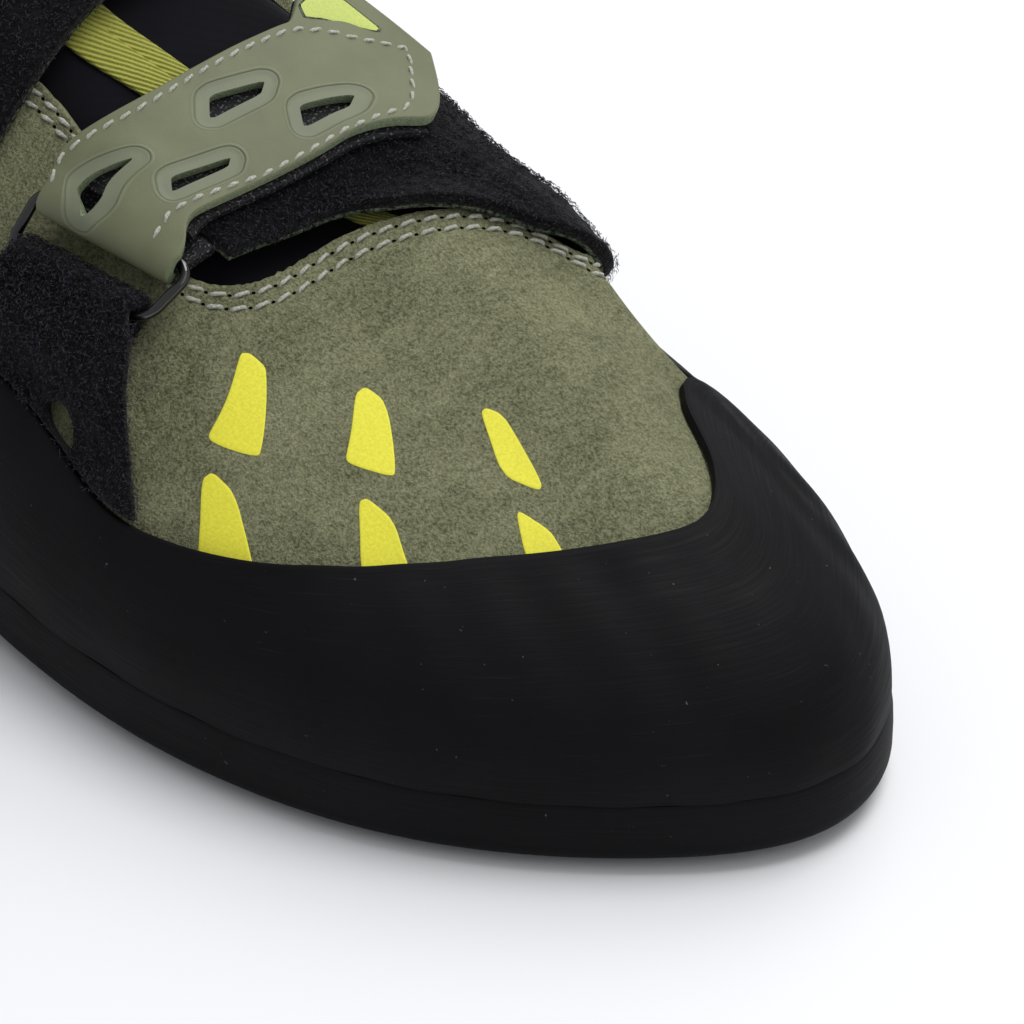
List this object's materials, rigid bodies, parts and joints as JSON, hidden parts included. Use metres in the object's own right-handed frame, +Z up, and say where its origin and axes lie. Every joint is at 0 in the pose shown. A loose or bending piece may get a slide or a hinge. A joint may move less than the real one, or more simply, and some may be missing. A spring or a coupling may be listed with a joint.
{
  "type": "climbing shoe",
  "caption": "Low climbing shoe for the right foot: suede upper, smooth rubber rand and sole, and two opposed strap closures with wire rings over a cloth tongue.",
  "frame": {"origin": "middle of the heel seat, on the floor the sole stands on", "axes": "+X along the foot to the toe, +Y to the inner (big toe) side, +Z up out of the sole"},
  "size_m": [0.2671, 0.0919, 0.0968],
  "materials": {
    "rubber": "matt, finely ground lengthwise",
    "suede": "brushed nap",
    "strap_leather": "smooth, slightly satin",
    "loop_pile": "dense brushed loop pile",
    "hook_tape": "matt woven back with moulded hooks",
    "tongue_cloth": "smooth knit",
    "lime_tape": "twill weave",
    "ring_enamel": "gloss black",
    "footbed_felt": "matt felt"
  },
  "bodies": {
    "root": {"outsole": "rubber", "insole": "footbed_felt", "upper": "suede", "toe_rand": "rubber", "heel_rand": "rubber", "tongue": "tongue_cloth", "tongue_tape": "lime_tape", "front_strap_band": "loop_pile", "front_strap_hook": "hook_tape", "front_strap_end": "strap_leather", "front_ring": "ring_enamel", "front_ring_tab": "loop_pile", "rear_strap_band": "loop_pile", "rear_strap_hook": "hook_tape", "rear_strap_end": "strap_leather", "rear_ring": "ring_enamel", "rear_ring_tab": "loop_pile"}
  },
  "joints": []
}
